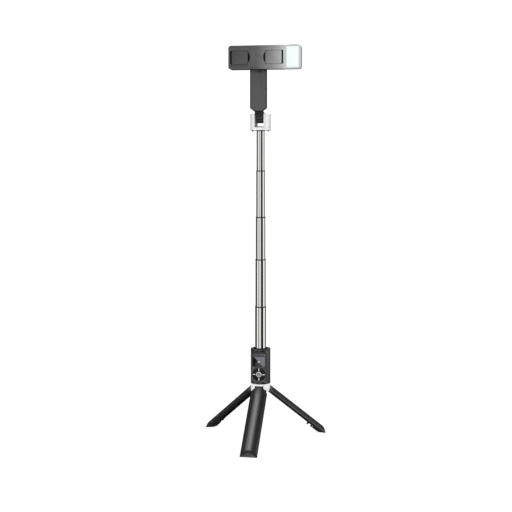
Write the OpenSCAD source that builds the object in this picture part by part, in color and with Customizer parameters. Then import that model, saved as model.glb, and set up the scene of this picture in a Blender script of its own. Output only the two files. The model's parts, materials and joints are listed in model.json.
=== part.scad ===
// Selfie stick: a folding tripod handle, a five-section telescopic pole and a tilting phone clamp
// with a fill light. Millimetres, +Z up, pole axis on Z, floor at Z = 0, front of the clamp is -Y.

/* [Tripod] */
// opening angle of a leg from vertical
leg_angle = 50.5; // [40:0.5:55]
// height of the leg hinge pins
hinge_z = 82.5; // [76:0.5:84]
// distance of a hinge pin from the pole axis
hinge_r = 11; // [10.6:0.1:12]
// distance of the toe face from the pole axis
toe_r = 107.5; // [95:0.5:115]

/* [Handle] */
// outside diameter of the handle and of the three closed legs
handle_d = 31; // [29:0.5:34]
// bottom of the grip housing
housing_z = 89; // [86:0.5:94]
// top of the grip housing
housing_top = 144; // [136:0.5:150]

/* [Pole] */
// outside diameter of the hidden base tube
base_tube_d = 18.4; // [18:0.1:19]
// step in diameter from one section to the next
tube_step = 1.2; // [1.1:0.05:1.4]
// wall of every tube
tube_wall = 0.35; // [0.3:0.05:0.4]
// height of the top of each section, widest first
section_tops = [211.1, 285.6, 351.8, 423.8, 485.2];
// length of each section, widest first
section_lengths = [84, 85, 86, 87, 88];

/* [Head] */
// height of the tilt pin
tilt_z = 504.5; // [502:0.5:508]
// diameter of the fork
fork_d = 31.4; // [30:0.1:34]
// width of the slot in the fork
fork_slot = 14; // [12:0.5:16]
// width of the neck
neck_w = 25.9; // [22:0.1:30]

/* [Clamp] */
// height of the clamp pivot
clamp_z = 593.3; // [585:0.1:600]
// height of the clamp bar
bar_h = 35.3; // [32:0.1:38]
// left end of the bar
bar_left = -43.2; // [-48:0.1:-40]
// seam between the bar and the light
bar_right = 43.4; // [40:0.1:48]
// right end of the light
light_right = 67.2; // [62:0.1:72]
// distance of the jaw hinges from the middle
jaw_pin_x = 34; // [32:0.5:35]

/* [Hidden] */
$fn = 96;

eps = 0.01;
R = handle_d / 2;
base_r = base_tube_d / 2;
lip = 1.0;
sleeve = 4;
bush_h = 5;
run = 0.05;
base_bottom = 62;
hinge_pin_r = 1.1;
lug_r = 3;
leg_gap = 0.25;
leg_flat = 7.95;
wall_flat = 5.2;
cover_t = 1.8;
foot_t = 2.4;
cover_top = -22.5;
cover_end = -110;
screw_z = [-27, -66];
prong_z = [-97, -105];
fork_r = fork_d / 2;
fork_bottom = section_tops[4] + 0.2;
fork_floor = 489.8;
fork_top = 510.7;
tongue_hw = 6.3;
tongue_r = 8.2;
tilt_pin_r = 2.4;
neck_back = -16.2;
neck_mid = -19.2;
neck_front = -20.8;
neck_low = 513.4;
neck_full = 518.7;
bar_back = -21.1;
bar_split = -27.5;
bar_front = -35.6;
bar_hh = bar_h / 2;
split_x = -9.4;
jaw_y = -33.6;
jaw_back = -32.4;
jaw_hh = 9.85;
jaw_in = 13.3;
jaw_out = 38;
jaw_pin_r = 0.9;
pad_t = 1.0;
rail_y = [-27.3, -23.3];
rail_z = [8.5, 13];
light_y = (bar_back + bar_front) / 2;
remote_hw = 11.6;
remote_z = [92.2, 138];
remote_back = -9.9;
remote_front = -15.8;
window_z = [117.4, 134.2];
dial_z = 105.1;
dial_r = 10.2;
cell_z = 125.5;

dark = [0.09, 0.09, 0.10];
grey = [0.36, 0.36, 0.37];
silver = [0.82, 0.82, 0.83];
steel = [0.70, 0.70, 0.70];
black = [0.04, 0.04, 0.04];

function tube_r(n) = base_r - tube_step / 2 * (6 - n);
function bore_r(n) = tube_r(n) - tube_wall;
function top_z(n) = n == 6 ? housing_top + lip : section_tops[5 - n];
function tail_z(n) = top_z(n) - section_lengths[5 - n];

// ---- shared shapes -------------------------------------------------------------------------

// box between two corners
module block(a, b) {
  translate(a)
    cube(b - a);
}

module tube(r_out, r_in, z0, z1) {
  translate([0, 0, z0])
    difference() {
      cylinder(r = r_out, h = z1 - z0);
      translate([0, 0, -1])
        cylinder(r = r_in, h = z1 - z0 + 2);
    }
}

// rod along X between two stations
module rod_x(r, x0, x1, y, z) {
  translate([x0, y, z])
    rotate([0, 90, 0])
      cylinder(r = r, h = x1 - x0);
}

// rod along Y between two stations
module rod_y(r, y0, y1, x, z) {
  translate([x, y1, z])
    rotate([90, 0, 0])
      cylinder(r = r, h = y1 - y0);
}

// flat shape drawn in X and Z, made solid from y0 to y1
module slab_y(y0, y1) {
  translate([0, y1, 0])
    rotate([90, 0, 0])
      linear_extrude(y1 - y0)
        children();
}

// flat shape drawn in Y and Z, made solid from x0 to x1
module slab_x(x0, x1) {
  translate([x0, 0, 0])
    rotate([90, 0, 90])
      linear_extrude(x1 - x0)
        children();
}

module rounded_rect(a, b, r) {
  translate([a[0] + r, a[1]])
    square([b[0] - a[0] - 2 * r, b[1] - a[1]]);
  translate([a[0], a[1] + r])
    square([b[0] - a[0], b[1] - a[1] - 2 * r]);
  for (x = [a[0] + r, b[0] - r], y = [a[1] + r, b[1] - r])
    translate([x, y])
      circle(r);
}

module thirds() {
  for (a = [0, 120, 240])
    rotate([0, 0, a])
      children();
}

// ---- handle --------------------------------------------------------------------------------

// opening for one leg's top: it leaves two round lugs that hold the hinge pin
module leg_window() {
  difference() {
    slab_y(-R - 1, -2)
      polygon([[-7, hinge_z + 3.6], [7, hinge_z + 3.6], [7, hinge_z], [10.2, hinge_z], [10.2, hinge_z - 2], [15.5, 70],
        [-15.5, 70], [-10.2, hinge_z - 2], [-10.2, hinge_z], [-7, hinge_z]]);
    rod_x(lug_r, -13, -7.1, -hinge_r, hinge_z);
    rod_x(lug_r, 7.1, 13, -hinge_r, hinge_z);
  }
}

module hub() {
  color(silver)
    difference() {
      translate([0, 0, 77])
        cylinder(r = R, h = housing_z - 77);
      cylinder(r = base_r, h = 100);
      thirds()
        leg_window();
      thirds()
        rod_x(hinge_pin_r, -8.9, 8.9, -hinge_r, hinge_z);
    }
}

module base_tube() {
  color(steel)
    tube(base_r, base_r - tube_wall, base_bottom, housing_top);
}

// guide ring in the mouth of section n + 1, around section n
module mouth_ring(n, bore, lip_r) {
  top = top_z(n + 1);
  color(black) {
    tube(lip_r, tube_r(n) + run, top - lip, top);
    tube(bore, tube_r(n) + run, top - lip - sleeve, top - lip);
  }
}

module base_mouth_ring() {
  mouth_ring(5, base_r - tube_wall, 10.6);
}

module leg_hinge_pins() {
  color(steel)
    thirds()
      rod_x(hinge_pin_r, -8.9, 8.9, -hinge_r, hinge_z);
}

module housing_screw_place() {
  for (a = [-8, 188])
    rotate([0, 0, a])
      translate([12.4, 0, 0])
        children();
}

module grip_housing() {
  color(dark)
    difference() {
      translate([0, 0, housing_z])
        cylinder(r = R, h = housing_top - 2.4 - housing_z);
      cylinder(r = base_r, h = 200);
      difference() {
        tube(R - 1.6, base_r + 1.2, housing_z + 2, housing_top);
        block([-R, -R, housing_z], [R, -4, housing_top]);
        housing_screw_place()
          cylinder(r = 2.2, h = 200);
      }
      housing_screw_place()
        translate([0, 0, housing_top - 10])
          cylinder(r = 0.9, h = 20);
      block([-R, -R - 2, remote_z[0] - 0.2], [R, -9.75, remote_z[1] + 0.2]);
      // finger scoop over the top of the remote
      rod_x(2.3, -8.6, 8.6, -15.2, 139.2);
    }
}

module housing_cap() {
  color(dark)
    difference() {
      translate([0, 0, housing_top - 2.4])
        cylinder(r = R, h = 2.4);
      cylinder(r = base_r, h = 200);
      housing_screw_place()
        cylinder(r = 0.9, h = 200);
      housing_screw_place()
        translate([0, 0, housing_top - 1.2])
          cylinder(r = 1.8, h = 3);
    }
}

module housing_screws() {
  color(steel)
    housing_screw_place() {
      translate([0, 0, housing_top - 10])
        cylinder(r = 0.9, h = 8.8);
      translate([0, 0, housing_top - 1.2])
        cylinder(r = 1.8, h = 1);
    }
}

// ---- legs ----------------------------------------------------------------------------------

// place a leg drawn hanging from its hinge pin
module leg_place(a) {
  rotate([0, 0, a])
    translate([0, -hinge_r, hinge_z])
      rotate([-leg_angle, 0, 0])
        children();
}

// put a shape drawn in the standing frame into the leg's own frame
module standing() {
  rotate([leg_angle, 0, 0])
    translate([0, hinge_r, -hinge_z])
      children();
}

// third of a circle around the pole axis, as far in as the plane at y = flat
module leg_section(r, flat, inset) {
  intersection() {
    translate([0, hinge_r])
      circle(r, $fn = 180);
    polygon([[0, hinge_r - (leg_gap + inset) / sin(60)], [-34.64, hinge_r - 20 - (leg_gap + inset) / sin(60)],
      [34.64, hinge_r - 20 - (leg_gap + inset) / sin(60)]]);
    translate([-20, -20])
      square([40, 20 + hinge_r - flat]);
  }
}

// the leg's outline seen from outside, narrow at the hinge
module leg_outline() {
  slab_y(-20, 20)
    polygon([[-4.2, -0.6], [4.2, -0.6], [14.8, -10], [14.8, -140], [-14.8, -140], [-14.8, -10]]);
}

// what the rubber foot takes from the leg: a sole and a toe
module foot_zone(grow) {
  standing() {
    block([-20, -toe_r - 30, -30], [20, 0, foot_t + grow]);
    block([-20, -toe_r - 30, -30], [20, -toe_r + foot_t + grow, 60]);
  }
}

module beyond_leg() {
  standing() {
    block([-20, -toe_r - 60, -60], [20, 0, 0]);
    block([-20, -toe_r - 60, -60], [20, -toe_r, 60]);
  }
}

module screw_bosses(r) {
  for (z = screw_z)
    rod_y(r, -3.4, hinge_r - leg_flat - cover_t, 0, z);
}

// room for the cover, and the open channel between the side walls inside it
module leg_channel() {
  face = hinge_r - leg_flat;
  mouth = hinge_r - wall_flat + 0.5;
  translate([0, 0, cover_end - 1.5])
    linear_extrude(cover_top - cover_end + 2)
      polygon([[-10.8, face - cover_t], [10.8, face - cover_t], [10.8, face], [5.9, mouth], [-5.9, mouth], [-10.8, face]]);
}

module leg_shell() {
  color(dark)
    difference() {
      union() {
        intersection() {
          translate([0, 0, -140])
            linear_extrude(141.2)
              leg_section(R, wall_flat, 0);
          leg_outline();
        }
        rod_x(1.85, -6.6, 6.6, 0, 0);
      }
      difference() {
        block([-15, -1.2, -1.9], [15, 12, 5]);
        rod_x(1.85, -6.6, 6.6, 0, 0);
      }
      translate([0, hinge_r, -21.6])
        cylinder(r = 9.9, h = 31);
      rod_x(hinge_pin_r + run, -20, 20, 0, 0);
      for (x = [-12, 6.7])
        rod_x(lug_r + 0.3, x, x + 5.3, 0, 0);
      block([-3, -1.7, -2.4], [3, 6, 3]);
      difference() {
        translate([0, 0, cover_end])
          linear_extrude(cover_top - cover_end)
            leg_section(R - 2, leg_flat + cover_t, 1.6);
        screw_bosses(2.6);
      }
      leg_channel();
      screw_bosses(0.9);
      foot_zone(0);
    }
}

module leg_cover() {
  face = hinge_r - leg_flat;
  color(dark) {
    difference() {
      block([-10.7, face - cover_t, cover_end - 1.4], [10.7, face, cover_top + 0.4]);
      for (z = screw_z) {
        rod_y(0.9, -5, 20, 0, z);
        rod_y(2, face - 1.1, 20, 0, z);
      }
      block([-3.5, face - 0.9, -51], [3.5, 20, -47]);
    }
    for (z = prong_z)
      block([-1.2, face, z - 1.15], [1.2, face + 5.9, z + 1.15]);
  }
}

module leg_foot() {
  color(black)
    difference() {
      union() {
        intersection() {
          translate([0, 0, -140])
            linear_extrude(141.2)
              leg_section(R, wall_flat, 0);
          foot_zone(0);
        }
        intersection() {
          translate([0, 0, -140])
            linear_extrude(60)
              leg_section(R, 2.8, 0);
          translate([-20, hinge_r - wall_flat, -140])
            cube([40, 10, 60]);
          standing()
            block([-20, -toe_r, 0], [20, 0, 6.6]);
        }
      }
      beyond_leg();
    }
}

module leg_screws() {
  face = hinge_r - leg_flat;
  color(steel)
    for (z = screw_z) {
      rod_y(0.9, -3.4, face - 1.1, 0, z);
      rod_y(1.9, face - 1.1, face + 1.3, 0, z);
    }
}

module leg_front_shell() { leg_place(0) leg_shell(); }
module leg_front_cover() { leg_place(0) leg_cover(); }
module leg_front_foot() { leg_place(0) leg_foot(); }
module leg_front_screws() { leg_place(0) leg_screws(); }
module leg_right_shell() { leg_place(120) leg_shell(); }
module leg_right_cover() { leg_place(120) leg_cover(); }
module leg_right_foot() { leg_place(120) leg_foot(); }
module leg_right_screws() { leg_place(120) leg_screws(); }
module leg_left_shell() { leg_place(240) leg_shell(); }
module leg_left_cover() { leg_place(240) leg_cover(); }
module leg_left_foot() { leg_place(240) leg_foot(); }
module leg_left_screws() { leg_place(240) leg_screws(); }

// ---- pole ----------------------------------------------------------------------------------

// section n of the pole, 5 the widest
module section(n) {
  color(steel)
    tube(tube_r(n), bore_r(n), tail_z(n), top_z(n) - lip);
}

module tail_bush(n) {
  color(black)
    tube(bore_r(n + 1) - run, tube_r(n), tail_z(n), tail_z(n) + bush_h);
}

module section_guides(n) {
  mouth_ring(n - 1, bore_r(n), tube_r(n) + 0.3);
  tail_bush(n);
}

module tube_5() { section(5); }
module tube_5_guides() { section_guides(5); }
module tube_4() { section(4); }
module tube_4_guides() { section_guides(4); }
module tube_3() { section(3); }
module tube_3_guides() { section_guides(3); }
module tube_2() { section(2); }
module tube_2_guides() { section_guides(2); }
module tube_1() { section(1); }
module tube_1_bush() { tail_bush(1); }

// plug in the top of the thinnest section, with the spigot the head turns on
module tube_plug() {
  color(black) {
    translate([0, 0, top_z(1) - 16])
      cylinder(r = bore_r(1), h = 15);
    translate([0, 0, top_z(1) - lip])
      cylinder(r = tube_r(1) + 0.3, h = lip);
    translate([0, 0, top_z(1)])
      cylinder(r = 4, h = fork_floor + 0.2 - top_z(1));
    translate([0, 0, fork_floor + 0.2])
      cylinder(r = 5.2, h = 1.4);
  }
}

// ---- head ----------------------------------------------------------------------------------

module head_fork() {
  color(silver)
    difference() {
      translate([0, 0, fork_bottom])
        cylinder(r = fork_r, h = fork_top - fork_bottom);
      block([-fork_slot / 2, -20, fork_floor], [fork_slot / 2, 20, 520]);
      translate([0, 0, fork_bottom - 1])
        cylinder(r = 4 + run, h = 10);
      rod_x(tilt_pin_r, -13, 13, 0, tilt_z);
      for (x = [-12.3, 12.3])
        translate([x, 0, fork_bottom - 1])
          cylinder(r = 1.3, h = 2.2);
    }
}

module tilt_pin() {
  color(steel)
    rod_x(tilt_pin_r, -13, 13, 0, tilt_z);
}

module fork_bumpers() {
  color(black)
    for (x = [-12.3, 12.3])
      translate([x, 0, fork_bottom - 1.6])
        cylinder(r = 1.3, h = 2.8);
}

// outline of the neck: chamfered foot and a round top around the clamp pivot
module neck_outline(inset) {
  w = neck_w / 2 - inset;
  polygon([[-tongue_hw, neck_low + inset], [tongue_hw, neck_low + inset], [w, neck_full + inset],
    [w, clamp_z], [-w, clamp_z], [-w, neck_full + inset]]);
  translate([0, clamp_z])
    circle(w);
}

module neck_arm() {
  color(dark)
    difference() {
      union() {
        slab_y(neck_mid, neck_back)
          neck_outline(0);
        slab_x(-tongue_hw, tongue_hw) {
          translate([0, tilt_z])
            circle(tongue_r);
          polygon([[-tongue_r, tilt_z], [neck_mid + 1.4, neck_low], [neck_mid, neck_low + 2],
            [neck_mid, neck_full], [neck_back, neck_full], [-3, tilt_z + 7.6]]);
        }
      }
      rod_x(tilt_pin_r + run, -20, 20, 0, tilt_z);
      rod_y(4 + run, -30, 0, 0, clamp_z);
      rod_y(7.3, -18, 0, 0, clamp_z);
    }
}

module neck_cover() {
  color(grey)
    difference() {
      slab_y(neck_front, neck_mid)
        neck_outline(0);
      rod_y(4 + run, -30, 0, 0, clamp_z);
    }
}

module friction_washers() {
  color(steel)
    for (x = [-6.9, 6.3])
      difference() {
        rod_x(5, x, x + 0.6, 0, tilt_z);
        rod_x(tilt_pin_r + run, x - 1, x + 2, 0, tilt_z);
      }
}

// ---- clamp ---------------------------------------------------------------------------------

module at_clamp() {
  translate([0, 0, clamp_z])
    children();
}

module clamp_pivot() {
  color(steel)
    at_clamp() {
      rod_y(4, -26, -17.8, 0, 0);
      rod_y(7, -17.8, -16.6, 0, 0);
    }
}

// hole through a bar half for one folded jaw, seen on the positive side
module jaw_pocket() {
  slab_y(bar_front - 1, -31)
    rounded_rect([jaw_in - 0.3, -jaw_hh - 0.35], [jaw_out + 2.4, jaw_hh + 0.35], 1.2);
  slab_y(bar_front - 1, -28.8)
    rounded_rect([30, -jaw_hh - 0.35], [jaw_out + 2.4, jaw_hh + 0.35], 1.2);
  intersection() {
    rod_y(13.2, bar_front - 1, -32, 23.4, 0);
    block([0, -40, -8.7], [20, 0, 8.7]);
  }
}

module jaw_pin() {
  translate([jaw_pin_x, jaw_y, -12.6])
    cylinder(r = jaw_pin_r, h = 25.2);
}

module right_jaw_pin() {
  color(steel)
    at_clamp()
      jaw_pin();
}

module left_jaw_pin() {
  color(steel)
    at_clamp()
      mirror([1, 0, 0])
        jaw_pin();
}

module clamp_back() {
  color(dark)
    at_clamp()
      difference() {
        slab_y(bar_split, bar_back) {
          rounded_rect([20, -bar_hh], [bar_right - 0.2, bar_hh], 0.5);
          translate([split_x, -bar_hh])
            square([40, bar_h]);
        }
        difference() {
          block([split_x - 1, bar_split - 1, -13.4], [41, rail_y[1] + 0.2, 13.4]);
          rod_y(6.5, bar_split - 1, bar_back, 0, 0);
        }
        rod_y(4, -26, 0, 0, 0);
        rod_x(2.5 + run, 40, 50, light_y, 0);
      }
}

module clamp_front() {
  color(grey)
    at_clamp()
      difference() {
        slab_y(bar_front, bar_split) {
          rounded_rect([20, -bar_hh], [bar_right - 0.2, bar_hh], 0.5);
          translate([split_x, -bar_hh])
            square([40, bar_h]);
        }
        jaw_pocket();
        jaw_pin();
        rod_x(2.5 + run, 41.2, 50, light_y, 0);
      }
}

module clamp_springs() {
  color(steel)
    at_clamp()
      for (z = [-10.75, 10.75])
        translate([24, -25.3, z])
          rotate([0, 90, 0])
            linear_extrude(17, twist = 2880, slices = 96, $fn = 6)
              translate([1.4, 0])
                circle(0.35, $fn = 6);
}

module slide_shell() {
  color(grey)
    at_clamp()
      difference() {
        slab_y(bar_front, bar_back) {
          rounded_rect([bar_left, -bar_hh], [-20, bar_hh], 4);
          translate([-36, -bar_hh])
            square([36 + split_x - 0.2, bar_h]);
        }
        block([-40, rail_y[0] - 0.2, -rail_z[1]], [0, rail_y[1] + 0.2, rail_z[1]]);
        mirror([1, 0, 0]) {
          jaw_pocket();
          jaw_pin();
        }
      }
}

module slide_rail() {
  color(steel)
    at_clamp() {
      for (z = [-rail_z[1], rail_z[0]])
        block([-40, rail_y[0], z], [24, rail_y[1], z + rail_z[1] - rail_z[0]]);
      block([-40, rail_y[0], -rail_z[0] - eps], [-20, rail_y[1], rail_z[0] + eps]);
    }
}

// one jaw on the positive side, folded flat: plate, barrel and a hook at the free end
module jaw() {
  difference() {
    union() {
      slab_y(bar_front, jaw_back)
        rounded_rect([jaw_in, -jaw_hh], [jaw_out, jaw_hh], 1.5);
      slab_y(jaw_back - eps, jaw_back + pad_t)
        translate([jaw_in, -jaw_hh + 1.5])
          square([1.8, 2 * jaw_hh - 3]);
      translate([jaw_pin_x, jaw_y, -jaw_hh])
        cylinder(r = 1.7, h = 2 * jaw_hh);
    }
    translate([jaw_pin_x, jaw_y, -20])
      cylinder(r = jaw_pin_r + run, h = 40);
  }
}

module jaw_pad() {
  slab_y(jaw_back, jaw_back + pad_t)
    rounded_rect([jaw_in + 2.2, -jaw_hh + 1.5], [30, jaw_hh - 1.5], 1.5);
}

module right_jaw() { color(grey) at_clamp() jaw(); }
module right_jaw_pad() { color(black) at_clamp() jaw_pad(); }
module left_jaw() { color(grey) at_clamp() mirror([1, 0, 0]) jaw(); }
module left_jaw_pad() { color(black) at_clamp() mirror([1, 0, 0]) jaw_pad(); }

// ---- light ---------------------------------------------------------------------------------

module light_housing() {
  color(grey)
    at_clamp() {
      difference() {
        slab_y(bar_front, bar_back) {
          rounded_rect([50, -bar_hh], [light_right, bar_hh], 4);
          translate([bar_right, -bar_hh])
            square([16, bar_h]);
        }
        block([bar_right + 1.4, bar_front + 2, -bar_hh + 1.6], [light_right - 2.4, bar_back - 1.6, bar_hh - 1.6]);
        slab_y(bar_front - 1, bar_front + 3)
          rounded_rect([45, -15.6], [63.9, 15.6], 1.5);
        block([48.1, -31.2, 10], [60.6, -25.4, 20]);
      }
      rod_x(2.5, 41.3, bar_right + 0.5, light_y, 0);
    }
}

module light_diffuser() {
  color([0.95, 0.99, 1.0])
    at_clamp()
      slab_y(bar_front + 0.2, bar_front + 1.9)
        rounded_rect([45.2, -15.4], [63.7, 15.4], 1.3);
}

module light_board() {
  color([0.85, 0.85, 0.80])
    at_clamp()
      block([45.4, -32.2, -14], [63.8, -31.4, 14]);
}

module light_battery() {
  color([0.35, 0.45, 0.60])
    at_clamp()
      block([46, -29.5, -14], [63, -23.5, 9.5]);
}

module light_button() {
  color(grey)
    at_clamp() {
      block([48.35, -31, 14.4], [60.35, -25.6, bar_hh + 1.2]);
      block([47.6, -31, 13.9], [61.1, -25.6, 14.9]);
    }
}

// ---- remote --------------------------------------------------------------------------------

module remote_base() {
  color(dark)
    difference() {
      slab_y(-13, remote_back)
        rounded_rect([-remote_hw, remote_z[0]], [remote_hw, remote_z[1]], 2.5);
      slab_y(-14, -10.9)
        rounded_rect([-10.2, remote_z[0] + 1.4], [10.2, remote_z[1] - 1.4], 1.5);
    }
}

module remote_face() {
  color(dark)
    difference() {
      slab_y(remote_front, -13)
        rounded_rect([-remote_hw, remote_z[0]], [remote_hw, remote_z[1]], 2.5);
      slab_y(-14.2, -12)
        rounded_rect([-10.4, remote_z[0] + 1.2], [10.4, remote_z[1] - 1.2], 1.5);
      slab_y(remote_front - 1, remote_front + 0.9)
        rounded_rect([-10.2, window_z[0]], [10.2, window_z[1]], 1);
      rod_y(dial_r + 0.3, -20, -12, 0, dial_z);
    }
}

module remote_window() {
  color(black)
    slab_y(remote_front, remote_front + 0.9)
      rounded_rect([-10.2, window_z[0]], [10.2, window_z[1]], 1);
}

module remote_board() {
  color([0.05, 0.25, 0.12])
    block([-9.8, -13.8, remote_z[0] + 2], [9.8, -13.02, remote_z[1] - 2]);
}

module coin_cell() {
  color(steel)
    rod_y(8, -12.9, -10.9, 0, cell_z);
}

module dial_ring() {
  color(black)
    difference() {
      rod_y(dial_r, -16.1, -14.4, 0, dial_z);
      rod_y(4.4, -20, -10, 0, dial_z);
    }
}

module centre_key() {
  color(silver)
    rod_y(4.1, -16.3, -14.4, 0, dial_z);
}

hub();
base_tube();
base_mouth_ring();
leg_hinge_pins();
grip_housing();
housing_cap();
housing_screws();
leg_front_shell();
leg_front_cover();
leg_front_foot();
leg_front_screws();
leg_right_shell();
leg_right_cover();
leg_right_foot();
leg_right_screws();
leg_left_shell();
leg_left_cover();
leg_left_foot();
leg_left_screws();
tube_5();
tube_5_guides();
tube_4();
tube_4_guides();
tube_3();
tube_3_guides();
tube_2();
tube_2_guides();
tube_1();
tube_1_bush();
tube_plug();
head_fork();
tilt_pin();
fork_bumpers();
neck_arm();
neck_cover();
friction_washers();
clamp_pivot();
clamp_back();
clamp_front();
clamp_springs();
right_jaw_pin();
slide_shell();
slide_rail();
left_jaw_pin();
left_jaw();
left_jaw_pad();
right_jaw();
right_jaw_pad();
light_housing();
light_diffuser();
light_board();
light_battery();
light_button();
remote_base();
remote_face();
remote_window();
remote_board();
coin_cell();
dial_ring();
centre_key();
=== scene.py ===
"""Looks for the selfie stick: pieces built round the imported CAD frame, procedural materials,
studio light and the camera. Lengths are metres in the row frame."""

import json
import math

import bmesh
import bpy
from mathutils import Matrix, Vector

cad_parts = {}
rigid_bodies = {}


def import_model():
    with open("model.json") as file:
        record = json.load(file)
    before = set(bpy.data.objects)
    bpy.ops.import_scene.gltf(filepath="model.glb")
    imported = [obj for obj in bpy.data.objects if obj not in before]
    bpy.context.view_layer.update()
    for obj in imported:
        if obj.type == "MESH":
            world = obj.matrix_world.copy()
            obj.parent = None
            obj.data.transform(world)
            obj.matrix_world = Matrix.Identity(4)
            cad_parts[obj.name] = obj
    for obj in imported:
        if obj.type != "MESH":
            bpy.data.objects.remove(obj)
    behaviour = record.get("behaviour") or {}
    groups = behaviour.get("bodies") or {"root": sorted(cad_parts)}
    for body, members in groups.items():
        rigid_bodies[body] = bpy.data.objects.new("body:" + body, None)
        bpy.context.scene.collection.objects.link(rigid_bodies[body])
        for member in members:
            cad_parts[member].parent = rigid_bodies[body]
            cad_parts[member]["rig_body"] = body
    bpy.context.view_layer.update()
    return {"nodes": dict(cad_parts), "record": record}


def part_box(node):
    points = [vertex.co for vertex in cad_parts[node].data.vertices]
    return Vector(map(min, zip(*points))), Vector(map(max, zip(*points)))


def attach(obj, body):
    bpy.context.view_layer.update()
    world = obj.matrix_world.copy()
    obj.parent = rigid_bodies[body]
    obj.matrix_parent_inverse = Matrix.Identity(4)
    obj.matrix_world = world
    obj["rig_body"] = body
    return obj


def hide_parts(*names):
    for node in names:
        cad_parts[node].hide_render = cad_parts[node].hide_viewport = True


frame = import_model()

NODES = frame["nodes"]
BODY = {n: o["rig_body"] for n, o in NODES.items()}
SLOT = {s["node"]: s["material_slot"] for s in frame["record"]["subparts"]}
MM = 0.001
SCENE = bpy.context.scene


# ---- material building -------------------------------------------------------------------------


class Nodes:
    """A few words for building a shader tree."""

    def __init__(self, tree):
        self.tree = tree
        self.tree.nodes.clear()

    def add(self, kind, **values):
        node = self.tree.nodes.new(kind)
        for key, value in values.items():
            if key in node.inputs:
                node.inputs[key].default_value = value
            else:
                setattr(node, key, value)
        return node

    def link(self, a, b):
        self.tree.links.new(a, b)

    def ramp(self, source, stops):
        node = self.tree.nodes.new("ShaderNodeValToRGB")
        elements = node.color_ramp.elements
        while len(elements) < len(stops):
            elements.new(0.5)
        for element, (at, tone) in zip(elements, stops):
            element.position = at
            element.color = (tone, tone, tone, 1) if isinstance(tone, (int, float)) else (*tone, 1)
        self.link(source, node.inputs["Fac"])
        return node.outputs["Color"]

    def noise(self, scale, detail, stretch):
        place = self.add("ShaderNodeTexCoord").outputs["Object"]
        if stretch != (1, 1, 1):
            mapping = self.tree.nodes.new("ShaderNodeMapping")
            mapping.inputs["Scale"].default_value = stretch
            self.link(place, mapping.inputs["Vector"])
            place = mapping.outputs["Vector"]
        node = self.add("ShaderNodeTexNoise", Scale=scale, Detail=detail, Roughness=0.55)
        self.link(place, node.inputs["Vector"])
        return node.outputs["Fac"]

    def mix(self, factor, a, b):
        node = self.tree.nodes.new("ShaderNodeMix")
        node.data_type = "RGBA"
        for value, name in ((factor, 0), (a, 6), (b, 7)):
            if isinstance(value, bpy.types.NodeSocket):
                self.link(value, node.inputs[name])
            elif name == 0:
                node.inputs[name].default_value = value
            else:
                node.inputs[name].default_value = (*value, 1)
        return node.outputs[2]

    def span(self, source, low, high, start=0.0, end=1.0):
        node = self.tree.nodes.new("ShaderNodeMapRange")
        for name, value in (("From Min", start), ("From Max", end), ("To Min", low), ("To Max", high)):
            node.inputs[name].default_value = value
        self.link(source, node.inputs["Value"])
        return node.outputs["Result"]


def shade(value):
    """A tone, or a colour, as three numbers."""
    return (value, value, value) if isinstance(value, (int, float)) else tuple(value)


WORN_EDGE = (0.52, 0.62)  # Pointiness from which an edge starts to wear, and where it is fully worn


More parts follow.
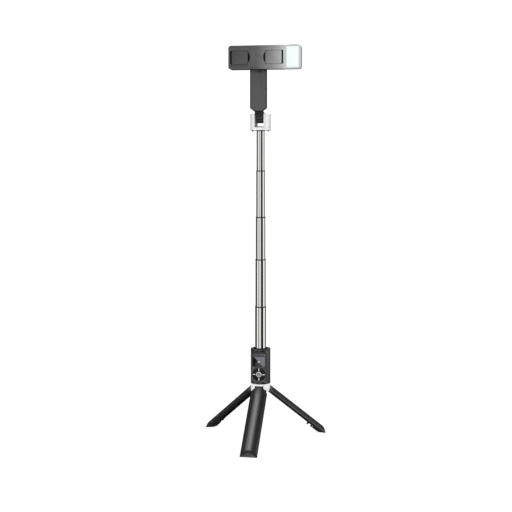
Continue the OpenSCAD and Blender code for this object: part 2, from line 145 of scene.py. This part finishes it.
def surface(
    name,
    colour,
    rough,
    metallic=0.0,
    grain=1600.0,
    depth=0.00002,
    strength=0.25,
    mottle=0.12,
    rough_spread=0.06,
    wear=0.0,
    wear_tone=0.3,
    stretch=(1, 1, 1),
    coat=0.0,
    coat_rough=0.1,
    specular=0.5,
    ior=1.5,
    glow=None,
    glow_strength=0.0,
    sheen=0.0,
    painted_glow=None,
    painted_top_light=None,
):
    """A moulded, painted or polished surface with grain, mottling and worn edges.

    grain, depth and strength shape its bump; rough_spread is how far its roughness wanders.
    The painted glow argument is (start, end, curve): painted light, an emission that grows along the piece's
    own X, in metres.
    The painted top light argument is a lighter tone painted on the parts that face up: a painted highlight,
    as if lit from above.
    """
    material = bpy.data.materials.new(name)
    material.use_nodes = True
    n = Nodes(material.node_tree)
    out = n.add("ShaderNodeOutputMaterial")
    bsdf = n.add("ShaderNodeBsdfPrincipled")
    n.link(bsdf.outputs[0], out.inputs[0])
    base = shade(colour)
    darker = tuple(c * (1 - mottle) for c in base)
    lighter = tuple(min(1.0, c * (1 + mottle)) for c in base)
    tone = n.mix(n.noise(140.0, 4.0, stretch), darker, lighter)
    if wear > 0:
        edge = n.add("ShaderNodeNewGeometry").outputs["Pointiness"]
        worn = n.span(edge, 0.0, wear, *WORN_EDGE)
        tone = n.mix(worn, tone, shade(wear_tone))
    # painted highlight: faces that point up blend towards a lighter tone
    if painted_top_light is not None:
        facing = n.add("ShaderNodeSeparateXYZ")
        n.link(n.add("ShaderNodeNewGeometry").outputs["Normal"], facing.inputs[0])
        tone = n.mix(n.span(facing.outputs[2], 0.0, 1.0, 0.25, 0.8), tone, shade(painted_top_light))
    n.link(tone, bsdf.inputs["Base Color"])
    blotch = n.noise(420.0, 3.0, stretch)
    n.link(
        n.span(blotch, max(0.02, rough - rough_spread), rough + rough_spread, 0.25, 0.75),
        bsdf.inputs["Roughness"],
    )
    bump = n.add("ShaderNodeBump", Strength=strength, Distance=depth)
    n.link(n.noise(grain, 2.0, stretch), bump.inputs["Height"])
    n.link(bump.outputs["Normal"], bsdf.inputs["Normal"])
    bsdf.inputs["Metallic"].default_value = metallic
    bsdf.inputs["Specular IOR Level"].default_value = specular
    bsdf.inputs["IOR"].default_value = ior
    bsdf.inputs["Coat Weight"].default_value = coat
    bsdf.inputs["Coat Roughness"].default_value = coat_rough
    bsdf.inputs["Sheen Weight"].default_value = sheen
    if glow is not None:
        bsdf.inputs["Emission Color"].default_value = (*shade(glow), 1)
        bsdf.inputs["Emission Strength"].default_value = glow_strength
    # painted glow: emission ramped along the piece's X, painted light that stands in for the lamp's spill
    if painted_glow is not None:
        start, end, curve = painted_glow
        along = n.add("ShaderNodeSeparateXYZ")
        n.link(n.add("ShaderNodeTexCoord").outputs["Object"], along.inputs[0])
        n.link(n.ramp(n.span(along.outputs[0], 0.0, 1.0, start, end), curve), bsdf.inputs["Emission Color"])
        bsdf.inputs["Emission Strength"].default_value = 1.0
    return material


GLOSSY_BLACK = {"ior": 2.0}
SATIN_GREY = {"colour": (0.024, 0.024, 0.0245), "rough": 0.36, "wear": 0.3, "wear_tone": 0.1, "ior": 2.1}
# painted shade: a near-black tone for rounded edges, standing in for the shade on edges turned from the light
DARK_EDGE = {"colour": (0.006, 0.006, 0.0065), "rough": 0.3, "strength": 0.2, "specular": 0.12}
PAINTED_GLOW_END = 0.0434  # where the bar meets the light; the painted glow starts at the middle of the bar
# painted glow ramps for the bar's face and for its rounded edges: emission, though the bar is no lamp
BAR_PAINTED_GLOW = (0.0, PAINTED_GLOW_END, [(0.0, 0.0), (0.1, 0.02), (0.5, 0.14), (0.8, 0.28), (1.0, 0.48)])
EDGE_PAINTED_GLOW = (0.0, PAINTED_GLOW_END, [(0.0, 0.0), (0.1, 0.01), (0.5, 0.09), (0.8, 0.24), (1.0, 0.45)])

MAT = {
    "hub_plastic": surface("hub_plastic", (0.93, 0.93, 0.94), 0.3, coat=0.3, mottle=0.03, strength=0.1),
    "fork_plastic": surface(
        "fork_plastic", (0.93, 0.93, 0.94), 0.14, coat=1.0, coat_rough=0.04, ior=1.9,
        mottle=0.03, strength=0.1,
    ),
    "tube_steel": surface(
        "tube_steel", (0.95, 0.935, 0.915), 0.07, 1.0, 900.0, 0.00001, 0.04, 0.02, 0.02, stretch=(6, 6, 0.25)
    ),
    "pin_steel": surface("pin_steel", 0.62, 0.3, 1.0, 2200.0, 0.00001, 0.2, 0.1, 0.08),
    "body_black": surface(
        "body_black", (0.012, 0.012, 0.013), 0.34, wear=0.3, wear_tone=0.1, **GLOSSY_BLACK
    ),
    "leg_black": surface(
        "leg_black", (0.010, 0.010, 0.0105), 0.33, strength=0.18, wear=0.25, wear_tone=0.08, **GLOSSY_BLACK
    ),
    "cover_black": surface(
        "cover_black", (0.016, 0.016, 0.017), 0.45, strength=0.3, wear=0.25, wear_tone=0.1
    ),
    "guide_black": surface("guide_black", 0.004, 0.5, mottle=0.2, specular=0.2),
    "foot_rubber": surface("foot_rubber", 0.008, 0.6, grain=2600.0, strength=0.5, mottle=0.25, sheen=0.05),
    "clamp_grey": surface("clamp_grey", **SATIN_GREY),
    # the bar's grey with a painted glow towards the lamp beside it
    "clamp_painted_glow": surface("clamp_painted_glow", painted_glow=BAR_PAINTED_GLOW, **SATIN_GREY),
    "neck_grey": surface("neck_grey", **SATIN_GREY),
    "screw_black": surface("screw_black", 0.02, 0.35, 0.8, 2200.0, 0.00001, 0.2),
    "arm_black": surface("arm_black", (0.010, 0.010, 0.011), 0.4, wear=0.3, wear_tone=0.08, specular=0.9),
    # edge materials: painted shade on rounded edges with a painted highlight on their upper parts; the second
    # adds the painted glow
    "black_rim_painted_shade": surface("black_rim_painted_shade", painted_top_light=0.09, **DARK_EDGE),
    "edge_painted_shade_and_glow": surface("edge_painted_shade_and_glow", painted_top_light=0.12, painted_glow=EDGE_PAINTED_GLOW, **DARK_EDGE),
    # painted shade for the white fork's rounded edges, lighter where they face up
    "fork_edge_painted_shade": surface("fork_edge_painted_shade", (0.17, 0.17, 0.173), 0.35, strength=0.1, specular=0.3, painted_top_light=0.5),
    # painted shade: near-black for pockets, gaps and undersides
    "recess_painted_shade": surface("recess_painted_shade", 0.004, 0.6, strength=0.4),
    "rail_steel": surface(
        "rail_steel", 0.55, 0.3, 1.0, 900.0, 0.00002, 0.3, 0.1, 0.1, stretch=(0.3, 4, 4)
    ),
    "spring_steel": surface("spring_steel", 0.5, 0.28, 1.0),
    "pad_rubber": surface("pad_rubber", 0.012, 0.6, grain=2400.0, strength=0.5, mottle=0.25),
    "light_shell": surface(
        "light_shell", (0.36, 0.375, 0.38), 0.25, coat=0.5, coat_rough=0.12, mottle=0.05,
        glow=(0.88, 0.94, 0.96), glow_strength=0.2,
    ),
    "light_panel": surface(
        "light_panel", (0.30, 0.32, 0.32), 0.4, mottle=0.02, glow=(0.84, 0.90, 0.89), glow_strength=0.72
    ),
    "board_white": surface("board_white", (0.75, 0.75, 0.70), 0.5),
    "cell_wrap": surface("cell_wrap", (0.2, 0.3, 0.45), 0.4),
    "button_grey": surface("button_grey", (0.42, 0.44, 0.45), 0.35, coat=0.2),
    "remote_black": surface(
        "remote_black", (0.018, 0.018, 0.019), 0.3, wear=0.3, wear_tone=0.12, **GLOSSY_BLACK
    ),
    "window_black": surface(
        "window_black", (0.004, 0.004, 0.006), 0.05, grain=300.0, strength=0.02, coat=1.0, coat_rough=0.03
    ),
    # painted reflection: a lighter, bluish glossy patch on the window
    "window_painted_reflection": surface(
        "window_painted_reflection", (0.135, 0.135, 0.16), 0.2, grain=300.0, strength=0.02, coat=1.0, coat_rough=0.05
    ),
    "board_green": surface("board_green", (0.03, 0.14, 0.06), 0.45),
    "cell_steel": surface("cell_steel", 0.6, 0.25, 1.0),
    "dial_black": surface("dial_black", (0.004, 0.004, 0.005), 0.35, specular=0.4),
    "key_silver": surface("key_silver", (0.78, 0.78, 0.79), 0.35, 0.1, strength=0.05, mottle=0.04),
    "key_black": surface("key_black", 0.006, 0.3),
    "mark_white": surface("mark_white", (0.75, 0.75, 0.75), 0.4, strength=0.05),
    "toe_plate": surface("toe_plate", (0.035, 0.035, 0.036), 0.4, wear=0.3, wear_tone=0.2),
}


# ---- mesh building -----------------------------------------------------------------------------


def put(name, mesh, body, slot, material=None, replaced=()):
    """Makes an object of the mesh, gives it its material and lets it ride on its body."""
    piece = bpy.data.objects.new(name, mesh)
    SCENE.collection.objects.link(piece)
    mesh.materials.append(MAT[material or slot])
    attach(piece, body)
    if replaced:
        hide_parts(*replaced)
    return piece


def smooth(piece, weighted=True):
    """Shades a piece smoothly; weighted keeps its flat faces flat."""
    for polygon in piece.data.polygons:
        polygon.use_smooth = True
    if weighted:
        modifier = piece.modifiers.new("normals", "WEIGHTED_NORMAL")
        modifier.keep_sharp = True
        modifier.weight = 100


SHARP = math.radians(28)  # an edge between faces at more than this angle gets rounded
ROUND_STEPS = 96  # sides of a turned piece


def clean_copy(node):
    """The CAD node's mesh with its flat faces whole again."""
    bm = bmesh.new()
    bm.from_mesh(NODES[node].data)
    bmesh.ops.remove_doubles(bm, verts=bm.verts, dist=2e-6)
    bmesh.ops.dissolve_limit(bm, angle_limit=math.radians(0.4), verts=bm.verts, edges=bm.edges)
    return bm


def softened(node, width, share=None, segments=3, material=None, dark=None, edges=None):
    """A copy of a CAD node with its edges rounded by width mm. share(middle) gives each edge's part of it.

    Faces that pass dark(centre) get a matt black painted shade, and edges names another material for the
    rounding.
    Both tests are given points in mm.
    """
    name = node + "_look"
    bm = clean_copy(node)
    layer = bm.edges.layers.float.new("bevel_weight_edge")
    for edge in bm.edges:
        if len(edge.link_faces) == 2 and edge.calc_face_angle(0.0) > SHARP:
            middle = (edge.verts[0].co + edge.verts[1].co) / 2
            edge[layer] = 1.0 if share is None else share(middle / MM)
    mesh = bpy.data.meshes.new(name)
    bm.to_mesh(mesh)
    bm.free()
    piece = put(name, mesh, BODY[node], SLOT[node], material, [node])
    if dark or edges:
        mesh.materials.append(MAT["recess_painted_shade"])
        mesh.materials.append(MAT[edges or "recess_painted_shade"])
    if dark:
        for polygon in mesh.polygons:
            polygon.material_index = 1 if dark(polygon.center / MM) else 0
    bevel = piece.modifiers.new("edges", "BEVEL")
    if edges:
        bevel.material = 2
    bevel.limit_method = "WEIGHT"
    bevel.width = width * MM
    bevel.segments = segments
    bevel.use_clamp_overlap = True
    bevel.miter_outer = "MITER_ARC"
    bevel.harden_normals = True
    smooth(piece, weighted=False)


def softened_at(node, width, fine, test, segments=4, **more):
    """Edges that pass test get the whole width, and the others the part fine."""
    softened(node, width, lambda middle: 1.0 if test(middle) else fine, segments, **more)


def lathe(name, profile, body, slot, replaced=(), material=None):
    """A closed profile of (radius, height) in mm turned round the pole's axis."""
    bm = bmesh.new()
    rings = []
    for radius, height in profile:
        ring = []
        for i in range(ROUND_STEPS):
            a = 2 * math.pi * i / ROUND_STEPS
            ring.append(bm.verts.new((radius * math.cos(a) * MM, radius * math.sin(a) * MM, height * MM)))
        rings.append(ring)
    for low, high in zip(rings, rings[1:] + rings[:1]):
        for i in range(ROUND_STEPS):
            j = (i + 1) % ROUND_STEPS
            bm.faces.new((low[i], low[j], high[j], high[i]))
    bmesh.ops.recalc_face_normals(bm, faces=bm.faces)
    mesh = bpy.data.meshes.new(name)
    bm.to_mesh(mesh)
    bm.free()
    smooth(put(name, mesh, body, slot, material, replaced))


def ring_profile(inner, outer, low, high, edge):
    """A ring's profile with its four corners rounded."""
    points = []
    for x, z, turn in ((outer, high, 0), (inner, high, 90), (inner, low, 180), (outer, low, 270)):
        cx = x - edge if x == outer else x + edge
        cz = z - edge if z == high else z + edge
        for step in range(4):
            a = math.radians(turn + step * 30)
            points.append((cx + edge * math.cos(a), cz + edge * math.sin(a)))
    return points


# ---- measures taken from the frame -------------------------------------------------------------


def mm_box(node):
    """The lowest and highest corners of a node, in mm."""
    low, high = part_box(node)
    return [c * 1000 for c in low], [c * 1000 for c in high]


CLAMP_LOW, CLAMP_HIGH = mm_box("clamp_front")
CLAMP_Z = (CLAMP_LOW[2] + CLAMP_HIGH[2]) / 2
BAR_FRONT = CLAMP_LOW[1]
BAR_HALF = (CLAMP_HIGH[2] - CLAMP_LOW[2]) / 2
DIAL_LOW, DIAL_HIGH = mm_box("dial_ring")
DIAL_Z = (DIAL_LOW[2] + DIAL_HIGH[2]) / 2
DIAL_FRONT = DIAL_LOW[1]
KEY_FRONT = mm_box("centre_key")[0][1]
WINDOW_LOW, WINDOW_HIGH = mm_box("remote_window")
LEGS = {"front": 0, "right": 120, "left": 240}  # each leg's turn about the pole, in degrees
LEG_ANGLE = math.radians(50.5)  # how far a leg is open
HINGE_R = 11.0  # the leg pins' distance from the pole's axis
HINGE_Z = 82.5
TOE_Y = 107.5  # how far the toes reach from the pole's axis
RING_RISE = 0.3  # mouth rings stand this far outside their tube
RING_HEIGHT = 1.0


# ---- pole --------------------------------------------------------------------------------------


def tube_piece(node, wall=0.35):
    low, high = mm_box(node)
    profile = ring_profile(high[0] - wall, high[0], low[2], high[2], 0.12)
    lathe(node + "_look", profile, BODY[node], SLOT[node], [node])


def section_rings(node, tube, inner):
    """The rounded mouth ring of a section, a painted shadow band below it and the bush at its tail."""
    low, high = mm_box(node)
    radius = mm_box(tube)[1][0]
    mouth = ring_profile(inner + 0.05, radius + RING_RISE, high[2] - RING_HEIGHT, high[2], 0.3)
    # painted shadow: a thin near-black band on the tube just under the mouth
    painted_shadow_band = ring_profile(radius, radius + 0.04, high[2] - 1.6, high[2] - 0.6, 0.01)
    sleeve = ring_profile(inner + 0.05, radius - 0.35, high[2] - 5.0, high[2] - 0.9, 0.06)
    bush = ring_profile(radius, radius + 0.2, low[2], low[2] + 5.0, 0.08)
    # the mouth ring is black, darkened further as painted shade, with a painted highlight on top
    lathe(node + "_look", mouth, BODY[node], SLOT[node], [node], "black_rim_painted_shade")
    lathe(node + "_collar", painted_shadow_band, BODY[node], SLOT[node], material="black_rim_painted_shade")
    lathe(node + "_sleeve", sleeve, BODY[node], SLOT[node])
    lathe(node + "_bush", bush, BODY[node], SLOT[node])


for name in ("base_tube", "tube_5", "tube_4", "tube_3", "tube_2", "tube_1"):
    tube_piece(name)
for number in (5, 4, 3, 2):
    section_rings(f"tube_{number}_guides", f"tube_{number}", mm_box(f"tube_{number - 1}")[1][0])
bottom, top = (corner[2] for corner in mm_box("base_mouth_ring"))
sleeve_in, sleeve_out = 8.65, 8.85
mouth_profile = [
    (sleeve_in, bottom), (sleeve_out, bottom), (sleeve_out, top - 1.0), (10.4, top - 1.0),
    (10.6, top - 0.8), (10.6, top - 0.4), (10.3, top - 0.1), (9.9, top),
    (8.95, top), (8.7, top - 0.15), (sleeve_in, top - 0.4),
]
lathe("base_mouth_ring_look", mouth_profile, "base", "guide_black", ["base_mouth_ring"])
bottom, top = (corner[2] for corner in mm_box("tube_1_bush"))
tail_bush = ring_profile(6.2, 6.4, bottom, top, 0.08)
lathe("tube_1_bush_look", tail_bush, "section_1", "guide_black", ["tube_1_bush"])


# ---- handle ------------------------------------------------------------------------------------


HOUSING_FOOT = 89.5  # the housing's lower edges are below this


def remote_rim(p):
    """The outline of the remote's front."""
    return p.y < -15.7 and (abs(p.x) > 10.9 or p.z > 136.5 or p.z < 93.5)


softened("hub", 0.35)
softened_at("grip_housing", 1.2, 0.3, lambda p: p.z < HOUSING_FOOT)
softened("housing_cap", 0.6, segments=4)
softened("remote_base", 0.3)
softened_at("remote_face", 0.9, 0.3, remote_rim)
softened("remote_window", 0.15)
softened("dial_ring", 0.25)
softened("centre_key", 0.2)


def flat_piece(name, outlines, front, depth, body, slot, material, edge=0.08, place=None):
    """Raised flat marks: outlines are loops of (x, z) in mm, and depth goes back from their Y, front."""
    bm = bmesh.new()
    for outline in outlines:
        face = bm.faces.new([bm.verts.new((x * MM, front * MM, z * MM)) for x, z in outline])
        face.normal_update()
        if face.normal.y > 0:
            face.normal_flip()
        made = bmesh.ops.extrude_face_region(bm, geom=[face])
        moved = [v for v in made["geom"] if isinstance(v, bmesh.types.BMVert)]
        bmesh.ops.translate(bm, verts=moved, vec=(0, depth * MM, 0))
    bmesh.ops.recalc_face_normals(bm, faces=bm.faces)
    if place is not None:
        bm.transform(place)
    mesh = bpy.data.meshes.new(name)
    bm.to_mesh(mesh)
    bm.free()
    piece = put(name, mesh, body, slot, material)
    bevel = piece.modifiers.new("edges", "BEVEL")
    bevel.width = edge * MM
    bevel.segments = 2
    bevel.limit_method = "ANGLE"
    smooth(piece)


def arc_strip(cx, cz, inner, outer, start, end, steps=24):
    """A curved bar's outline between two angles in degrees."""
    angles = [math.radians(start + (end - start) * i / steps) for i in range(steps + 1)]
    out = [(cx + outer * math.cos(a), cz + outer * math.sin(a)) for a in angles]
    back = [(cx + inner * math.cos(a), cz + inner * math.sin(a)) for a in reversed(angles)]
    return out + back


def rounded_outline(x0, z0, x1, z1, r, steps=6):
    """A rectangle's outline with round corners."""
    points = []
    corners = ((x1 - r, z1 - r, 0), (x0 + r, z1 - r, 90), (x0 + r, z0 + r, 180), (x1 - r, z0 + r, 270))
    for cx, cz, turn in corners:
        for i in range(steps + 1):
            a = math.radians(turn + 90 * i / steps)
            points.append((cx + r * math.cos(a), cz + r * math.sin(a)))
    return points


# four white marks on the dial
TICK_FROM, TICK_TO, TICK_HALF = 5.5, 9.5, 0.65
ticks = []
for turn in range(4):
    a = math.radians(90 * turn)
    across, along = Vector((-math.sin(a), math.cos(a))), Vector((math.cos(a), math.sin(a)))
    corners = [
        along * out + across * side
        for out, side in (
            (TICK_FROM, TICK_HALF), (TICK_TO, TICK_HALF), (TICK_TO, -TICK_HALF), (TICK_FROM, -TICK_HALF)
        )
    ]
    ticks.append([(c.x, DIAL_Z + c.y) for c in corners])
flat_piece("dial_marks", ticks, DIAL_FRONT - 0.1, 0.2, "dial", "dial_black", "mark_white")

# centre key: a silver ring round a black cap with a generic power mark
cap_disc = arc_strip(0, DIAL_Z, 0.01, 2.9, 0, 359.9, 48)
flat_piece("key_cap", [cap_disc], KEY_FRONT - 0.12, 0.2, "centre_key", "key_silver", "key_black")
power_arc = arc_strip(0, DIAL_Z, 1.15, 1.7, 130, 410, 30)
power_bar = [(-0.28, DIAL_Z + 0.3), (0.28, DIAL_Z + 0.3), (0.28, DIAL_Z + 2.0), (-0.28, DIAL_Z + 2.0)]
flat_piece(
    "key_power_mark", [power_arc, power_bar], KEY_FRONT - 0.2, 0.12, "centre_key", "key_silver", "mark_white",
    edge=0.03,
)

# glossy window with a painted reflection, a lighter diagonal patch, and a small pale mark
WINDOW_RIM = 0.7
x0, z0 = WINDOW_LOW[0] + WINDOW_RIM, WINDOW_LOW[2] + WINDOW_RIM
x1, z1 = WINDOW_HIGH[0] - WINDOW_RIM, WINDOW_HIGH[2] - WINDOW_RIM
window_front = WINDOW_LOW[1]
flat_piece(
    "window_painted_reflection", [[(x0 + 1.2, z1), (x1 - 3.0, z0), (x1, z0), (x1, z1)]], window_front - 0.04, 0.08,
    "remote", "window_black", "window_painted_reflection", edge=0.02,
)
flat_piece(
    "window_mark", [rounded_outline(-1.5, 124.2, 1.5, 126.2, 0.9)], window_front - 0.1, 0.12,
    "remote", "window_black", "mark_white", edge=0.03,
)


# ---- legs --------------------------------------------------------------------------------------


def leg_matrix(turn):
    """From a leg's own frame in mm, hanging from its pin, to the row frame in mm."""
    return (
        Matrix.Rotation(math.radians(turn), 4, "Z")
        @ Matrix.Translation((0, -HINGE_R, HINGE_Z))
        @ Matrix.Rotation(-LEG_ANGLE, 4, "X")
    )


def leg_outside(home):
    """A test for the edges on the round outside of the leg, or at its sides."""

    def test(p):
        at = home @ p
        return at.y < -0.6 or abs(at.x) > 11.9

    return test


# the toe plate's outline: an arch that closes with a flat lower edge
TOE_HALF, TOE_STEPS = 10.6, 24
toe_arch = [TOE_HALF * math.cos(math.pi * i / TOE_STEPS) for i in range(TOE_STEPS + 1)]
toe_face = [(x, -11.2 + 18.2 * math.sqrt(1 - (x / 14.0) ** 2)) for x in toe_arch]

for leg, turn in LEGS.items():
    upright = Matrix.Rotation(math.radians(turn), 4, "Z")
    softened_at(f"leg_{leg}_shell", 0.8, 0.3, leg_outside(leg_matrix(turn).inverted()))
    softened(f"leg_{leg}_cover", 0.25, material="cover_black")
    softened_at(
        f"leg_{leg}_foot", 2.2, 0.3, lambda p, back=upright.inverted(): abs((back @ p).x) > 11.8, segments=5
    )
    flat_piece(
        f"leg_{leg}_toe_plate", [toe_face], -TOE_Y - 0.15, 0.4, f"leg_{leg}", "foot_rubber", "toe_plate",
        edge=0.12, place=upright,
    )
    softened(f"leg_{leg}_screws", 0.2)


# ---- head --------------------------------------------------------------------------------------

NECK_FOOT = 514  # the neck is broad above this, and a narrow tongue below it
NECK_FACE = -20.5

# fork: painted shade, grey on its rounded edges, with a painted highlight on their upper parts
softened("head_fork", 0.6, segments=4, edges="fork_edge_painted_shade")
softened("fork_bumpers", 0.4)
softened("tilt_pin", 0.3)
softened("tube_plug", 0.25)
softened_at("neck_arm", 0.8, 0.4, lambda p: p.z > NECK_FOOT)
# neck: painted shade on the rounded front edges
softened_at("neck_cover", 1.3, 0.25, lambda p: p.y < NECK_FACE, edges="black_rim_painted_shade")


# ---- clamp -------------------------------------------------------------------------------------


BAR_BACK = -22  # edges behind this belong to the bar's back
BAR_FACE = -30  # and edges in front of this to its front
SLIDE_SEAM = (-9.7, -9.2)
LIGHT_SEAM = 43.3
POCKET_HALF = 13  # the jaw pockets lie within this height of the bar's middle
POCKETS = (-40.6, 43.0)  # and between these ends


def on_slide_seam(p):
    """The gap between the sliding part and the fixed part of the bar."""
    return SLIDE_SEAM[0] < p.x < SLIDE_SEAM[1]


def bar_outside(p):
    """The rim of the bar's front."""
    return p.y < BAR_FRONT + 0.1 and (abs(p.z - CLAMP_Z) > BAR_HALF - 4.2 or p.x < -39.5 or p.x > 41.5)


def bar_edge(p):
    """Edges of the bar's outline; its inner seams stay tight."""
    at_rim = abs(p.z - CLAMP_Z) > BAR_HALF - 0.05
    return (at_rim or bar_outside(p)) and not on_slide_seam(p) and abs(p.x - LIGHT_SEAM) > 0.3


def inside_bar(p):
    """The walls and floor of the jaw pockets, and the bar's underside: the faces that get painted shade."""
    underside = p.z < CLAMP_Z - BAR_HALF + 0.05
    sunk = p.y > BAR_FRONT + 0.1 and abs(p.z - CLAMP_Z) < POCKET_HALF
    return underside or (sunk and POCKETS[0] < p.x < POCKETS[1] and not on_slide_seam(p))


# bar front: painted glow on the face and edges towards the lamp, and painted shade in the pockets, underneath
# and on the edges
softened_at(
    "clamp_front", 1.9, 0.14, lambda p: bar_edge(p) and p.y < BAR_FACE, 5,
    material="clamp_painted_glow", dark=inside_bar, edges="edge_painted_shade_and_glow",
)
softened_at("clamp_back", 1.2, 0.2, lambda p: bar_edge(p) and p.y > BAR_BACK)
# sliding part: painted shade in the pockets and on its rounded outer edges
softened_at(
    "slide_shell", 1.9, 0.14,
    lambda p: bar_edge(p) and p.x < -9.8 and not BAR_FACE <= p.y <= BAR_BACK, 5,
    dark=inside_bar, edges="black_rim_painted_shade",
)
softened("slide_rail", 0.3)
softened("clamp_pivot", 0.4)
# the right jaw gets the bar's grey with the painted glow
for side, material in (("left", None), ("right", "clamp_painted_glow")):
    # jaws: painted shade on their faces inside the pockets and on their rounded edges
    softened(
        f"{side}_jaw", 0.5, material=material, dark=lambda p: p.y > BAR_FRONT + 0.1, edges="recess_painted_shade"
    )
    softened(f"{side}_jaw_pad", 0.25)
    softened(f"{side}_jaw_pin", 0.2)


# ---- light -------------------------------------------------------------------------------------


def light_outline(p):
    """The outer edges of the light, without the seam to the bar and the panel's opening."""
    at_face = p.y < BAR_FRONT + 0.1 or p.y > -21.3 or p.x > 62
    return p.x > 44.5 and at_face and (abs(p.z - CLAMP_Z) > 16 or p.x > 64.5)


softened_at("light_housing", 1.3, 0.25, light_outline)
softened("light_diffuser", 0.3)
softened("light_button", 0.5)


# ---- the CAD nodes that still show -------------------------------------------------------------

for node in NODES:
    if not NODES[node].hide_render:
        NODES[node].data.materials.clear()
        NODES[node].data.materials.append(MAT[SLOT[node]])


# ---- camera and light --------------------------------------------------------------------------

VIEW_AZIMUTH = math.radians(9.88)
VIEW_DISTANCE = 1.5177
VIEW_HEIGHT = 0.4421
VIEW_TARGET = 0.2904
LENS = 68.52
SENSOR = 36.0
SHIFT = -0.00895

camera = bpy.data.objects.new("camera", bpy.data.cameras.new("camera"))
SCENE.collection.objects.link(camera)
camera.location = (
    VIEW_DISTANCE * math.sin(VIEW_AZIMUTH),
    -VIEW_DISTANCE * math.cos(VIEW_AZIMUTH),
    VIEW_HEIGHT,
)
aim = Vector((0, 0, VIEW_TARGET)) - camera.location
camera.rotation_euler = aim.to_track_quat("-Z", "Y").to_euler()
camera.data.sensor_width = SENSOR
camera.data.lens = LENS
camera.data.shift_x = SHIFT
camera.data.clip_start = 0.05
camera.data.clip_end = 60
SCENE.camera = camera

world = bpy.data.worlds.new("studio")
world.use_nodes = True
SCENE.world = world
w = Nodes(world.node_tree)
w_out = w.add("ShaderNodeOutputWorld")


def light_background(colour, strength):
    """A background of a tone or of a colour socket."""
    node = w.add("ShaderNodeBackground")
    if isinstance(colour, bpy.types.NodeSocket):
        w.link(colour, node.inputs["Color"])
    else:
        node.inputs["Color"].default_value = (*shade(colour), 1)
    node.inputs["Strength"].default_value = strength
    return node.outputs[0]


def calc(operation, *values):
    """A maths node on numbers or sockets."""
    node = w.add("ShaderNodeMath", operation=operation)
    for i, value in enumerate(values):
        if isinstance(value, bpy.types.NodeSocket):
            w.link(value, node.inputs[i])
        else:
            node.inputs[i].default_value = value
    return node.outputs[0]


# what glossy surfaces mirror: upright softboxes and dark cards round the object, as (degrees from the
# front, tone), and a softbox overhead
direction = w.add("ShaderNodeTexCoord").outputs["Generated"]
split = w.add("ShaderNodeSeparateXYZ")
w.link(direction, split.inputs[0])
heading = calc("ARCTAN2", split.outputs[0], calc("MULTIPLY", split.outputs[1], -1.0))
around = calc("WRAP", calc("DIVIDE", calc("SUBTRACT", heading, VIEW_AZIMUTH), 2 * math.pi), 0.5, -0.5)
cards = [
    (-180, 0.03), (-140, 0.04), (-112, 0.08), (-82, 0.10), (-76, 1.05), (-54, 1.1), (-49, 0.08), (-33, 0.08),
    (-28, 0.9), (-8, 0.78), (6, 0.66), (11, 0.03), (38, 0.0), (56, 0.0), (62, 1.0), (84, 0.85), (108, 0.45),
    (118, 0.06), (180, 0.05),
]
bands = w.ramp(calc("ADD", around, 0.5), [(0.5 + a / 360, tone) for a, tone in cards])
height = split.outputs[2]
dim = w.mix(w.span(height, 0.0, 1.0, 0.3, 0.5), bands, (0.03, 0.03, 0.03))
overhead = w.ramp(
    w.span(split.outputs[0], 0.0, 1.0, -1.0, 1.0),
    [(0.0, 0.1), (0.2, 0.5), (0.34, 1.6), (0.42, 2.6), (0.49, 2.4), (0.56, 1.0), (0.66, 0.15), (0.8, 0.0)],
)
upper = w.mix(w.span(height, 0.0, 1.0, 0.55, 0.85), dim, overhead)
gloss_colour = w.mix(w.span(height, 1.0, 0.0, -0.5, -0.25), upper, (0.02, 0.02, 0.02))
path = w.add("ShaderNodeLightPath")


def choose(factor, first, second):
    """The second shader where factor is 1, and the first elsewhere."""
    node = w.add("ShaderNodeMixShader")
    w.link(factor, node.inputs[0])
    w.link(first, node.inputs[1])
    w.link(second, node.inputs[2])
    return node.outputs[0]


soft_colour = w.mix(w.span(height, 0.0, 1.0, -0.2, 0.25), (0.6, 0.6, 0.6), (1.3, 1.3, 1.3))
lit = choose(
    path.outputs["Is Glossy Ray"], light_background(soft_colour, 1.0), light_background(gloss_colour, 1.0)
)
w.link(choose(path.outputs["Is Camera Ray"], lit, light_background(1.0, 1.1)), w_out.inputs[0])

floor_mesh = bpy.data.meshes.new("floor")
bm = bmesh.new()
bmesh.ops.create_circle(bm, cap_ends=True, segments=64, radius=6)
bm.to_mesh(floor_mesh)
bm.free()
floor = bpy.data.objects.new("floor", floor_mesh)
SCENE.collection.objects.link(floor)
floor.location.z = -0.0002
floor_mesh.materials.append(
    surface("floor", 0.12, 0.9, specular=0.0, mottle=0.004, strength=0.0, glow=1.0, glow_strength=0.92)
)
floor.visible_glossy = False
floor.visible_diffuse = False


key_data = bpy.data.lights.new("key", "AREA")
key_data.shape = "RECTANGLE"
key_data.size, key_data.size_y = 1.0, 1.6
key_data.energy = 6
key = bpy.data.objects.new("key", key_data)
SCENE.collection.objects.link(key)
key.location = (-1.4, -1.8, 1.6)
key.rotation_euler = (Vector((0, 0, 0.35)) - key.location).to_track_quat("-Z", "Y").to_euler()
key.visible_glossy = False

SCENE.view_settings.view_transform = "Standard"
